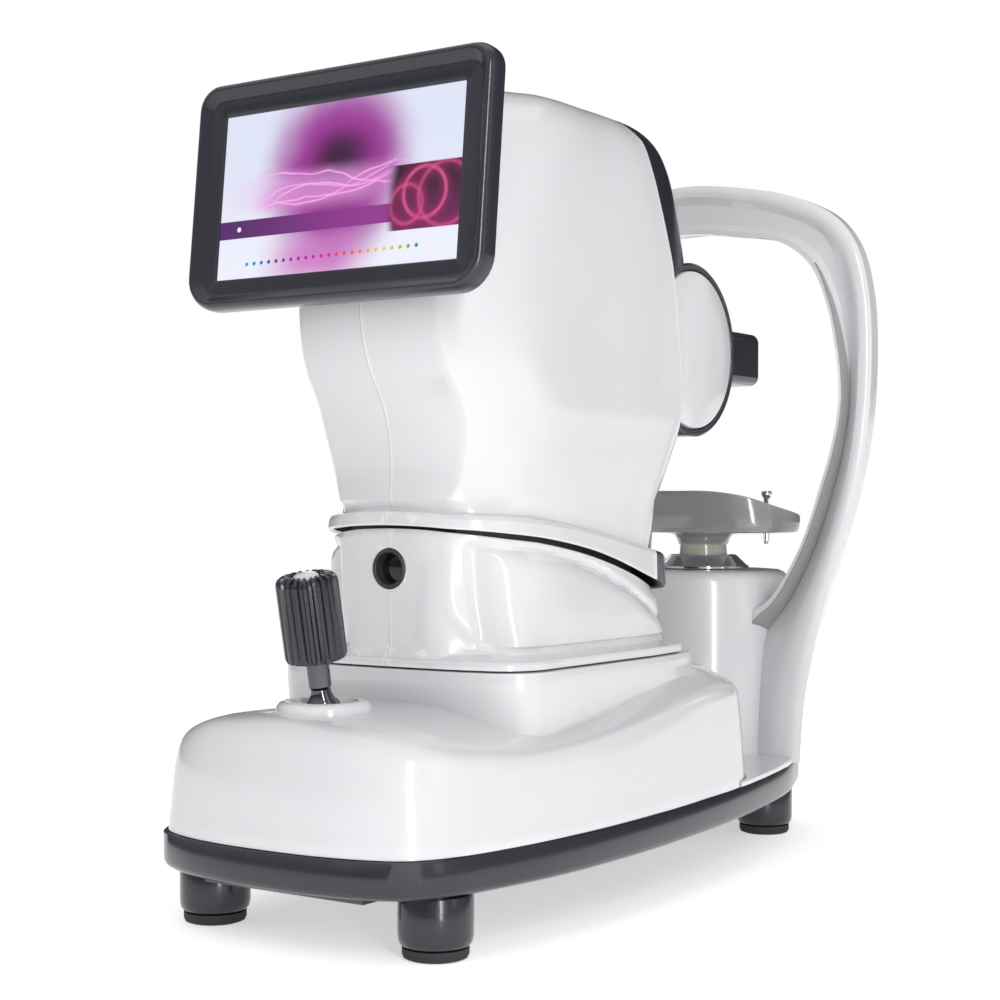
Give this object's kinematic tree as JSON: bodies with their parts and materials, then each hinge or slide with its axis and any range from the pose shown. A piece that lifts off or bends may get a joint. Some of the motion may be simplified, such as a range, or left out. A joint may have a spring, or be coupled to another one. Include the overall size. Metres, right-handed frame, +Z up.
{
  "type": "autorefractor",
  "caption": "Table-top eye refractometer with joystick, tilting colour screen, lifting measuring head, chin rest and forehead arch.",
  "frame": {"origin": "on the table, under the middle of the bounding box", "axes": "+X to the operator's right, +Y from the operator towards the patient, +Z up"},
  "size_m": [0.263, 0.51, 0.4422],
  "materials": {
    "slate_plastic": "moulded bluish dark grey, satin, fine grain",
    "service_plate": "dark grey, plain",
    "rubber": "moulded, matt",
    "white_plastic": "gloss white paint over moulded covers",
    "black_plastic": "black, satin",
    "aluminium": "machined casting",
    "steel": "ground bar and folded sheet",
    "circuit_board": "green solder mask",
    "dark_glass": "coated dark glass",
    "lit_screen": "lit colour display under a clear sheet",
    "silicone": "smooth silicone, translucent grey white",
    "chrome": "bright plated",
    "cream_plastic": "cream white, polished",
    "grey_plastic": "pale grey, slightly translucent"
  },
  "bodies": {
    "base": {"chassis_pan": "slate_plastic", "service_plate": "service_plate", "foot_front_left": "slate_plastic", "foot_pad_front_left": "rubber", "foot_front_right": "slate_plastic", "foot_pad_front_right": "rubber", "foot_rear_left": "slate_plastic", "foot_pad_rear_left": "rubber", "foot_rear_right": "slate_plastic", "foot_pad_rear_right": "rubber", "base_cover": "white_plastic", "power_inlet": "black_plastic", "bed_plate": "aluminium", "cross_rail_front": "steel", "cross_rail_rear": "steel", "power_supply": "steel", "main_board": "circuit_board", "arch_frame": "white_plastic", "forehead_pad": "silicone", "chin_pillar": "white_plastic", "chin_collar": "chrome", "chin_motor": "black_plastic", "joystick_boss": "white_plastic"},
    "power_rocker": {"power_rocker": "black_plastic"},
    "carriage": {"cross_carriage": "aluminium", "fore_rail_left": "steel", "fore_rail_right": "steel"},
    "stage": {"stage_plate": "aluminium", "neck_cover_left": "white_plastic", "neck_cover_right": "white_plastic", "port_ring": "black_plastic", "port_window": "dark_glass", "lift_shroud": "slate_plastic", "lift_post_left": "steel", "lift_post_right": "steel", "lift_motor": "black_plastic"},
    "lift_screw": {"lift_screw": "steel"},
    "head": {"head_frame": "aluminium", "head_cover_left": "white_plastic", "head_cover_right": "white_plastic", "rear_cover": "slate_plastic", "drum_cheek_left": "white_plastic", "drum_cheek_right": "white_plastic", "window_housing": "slate_plastic", "mire_ring": "dark_glass", "objective_glass": "dark_glass", "optical_unit": "black_plastic", "monitor_mount": "aluminium"},
    "monitor": {"monitor_bezel": "slate_plastic", "display_panel": "lit_screen", "monitor_back": "slate_plastic", "tilt_pin": "steel"},
    "chin_rest": {"chin_shaft": "cream_plastic", "chin_cup": "grey_plastic"},
    "chin_pin_left": {"chin_pin_left": "chrome"},
    "chin_pin_right": {"chin_pin_right": "chrome"},
    "joystick_gimbal": {"joystick_gimbal": "steel"},
    "joystick_stick": {"joystick_stick": "chrome"},
    "joystick_knob": {"joystick_knob": "slate_plastic"},
    "measure_button": {"measure_button": "white_plastic"}
  },
  "joints": [
    {"name": "cross_slide", "type": "slide", "parent": "base", "child": "carriage", "axis": [1, 0, 0], "range_m": [-0.027, 0.027]},
    {"name": "fore_slide", "type": "slide", "parent": "carriage", "child": "stage", "axis": [0, 1, 0], "range_m": [-0.015, 0.015]},
    {"name": "head_lift", "type": "slide", "parent": "stage", "child": "head", "axis": [0, 0, 1], "range_m": [0, 0.03]},
    {"name": "lift_screw_turn", "type": "hinge", "parent": "stage", "child": "lift_screw", "pos_m": [0, -0.04, 0.2], "axis": [0, 0, 1], "range_deg": [-10, 2200]},
    {"name": "monitor_tilt", "type": "hinge", "parent": "head", "child": "monitor", "pos_m": [0, -0.17222, 0.37193], "axis": [1, 0, 0], "range_deg": [-20, 5]},
    {"name": "chin_lift", "type": "slide", "parent": "base", "child": "chin_rest", "axis": [0, 0, 1], "range_m": [0, 0.06]},
    {"name": "chin_pin_left_pull", "type": "slide", "parent": "chin_rest", "child": "chin_pin_left", "axis": [0, 0, 1], "range_m": [0, 0.03]},
    {"name": "chin_pin_right_pull", "type": "slide", "parent": "chin_rest", "child": "chin_pin_right", "axis": [0, 0, 1], "range_m": [0, 0.03]},
    {"name": "stick_tilt_fore", "type": "hinge", "parent": "base", "child": "joystick_gimbal", "pos_m": [0, -0.2045, 0.104], "axis": [1, 0, 0], "range_deg": [-26, 4]},
    {"name": "stick_tilt_side", "type": "hinge", "parent": "joystick_gimbal", "child": "joystick_stick", "pos_m": [0, -0.2045, 0.104], "axis": [0, 0.9808, 0.1953], "range_deg": [-15, 15]},
    {"name": "knob_turn", "type": "hinge", "parent": "joystick_stick", "child": "joystick_knob", "pos_m": [0, -0.2045, 0.104], "axis": [0, -0.1953, 0.9808], "continuous": true},
    {"name": "button_press", "type": "slide", "parent": "joystick_knob", "child": "measure_button", "axis": [0, 0.1953, -0.9808], "range_m": [0, 0.0015], "stiffness_N_per_m": 500},
    {"name": "power_switch", "type": "hinge", "parent": "base", "child": "power_rocker", "pos_m": [-0.0992, -0.0455, 0.07], "axis": [0, 1, 0], "range_deg": [0, 12]}
  ],
  "couplings": [
    {"joint": "lift_screw_turn", "follows": "head_lift", "rad_per_m": 1256.6}
  ]
}
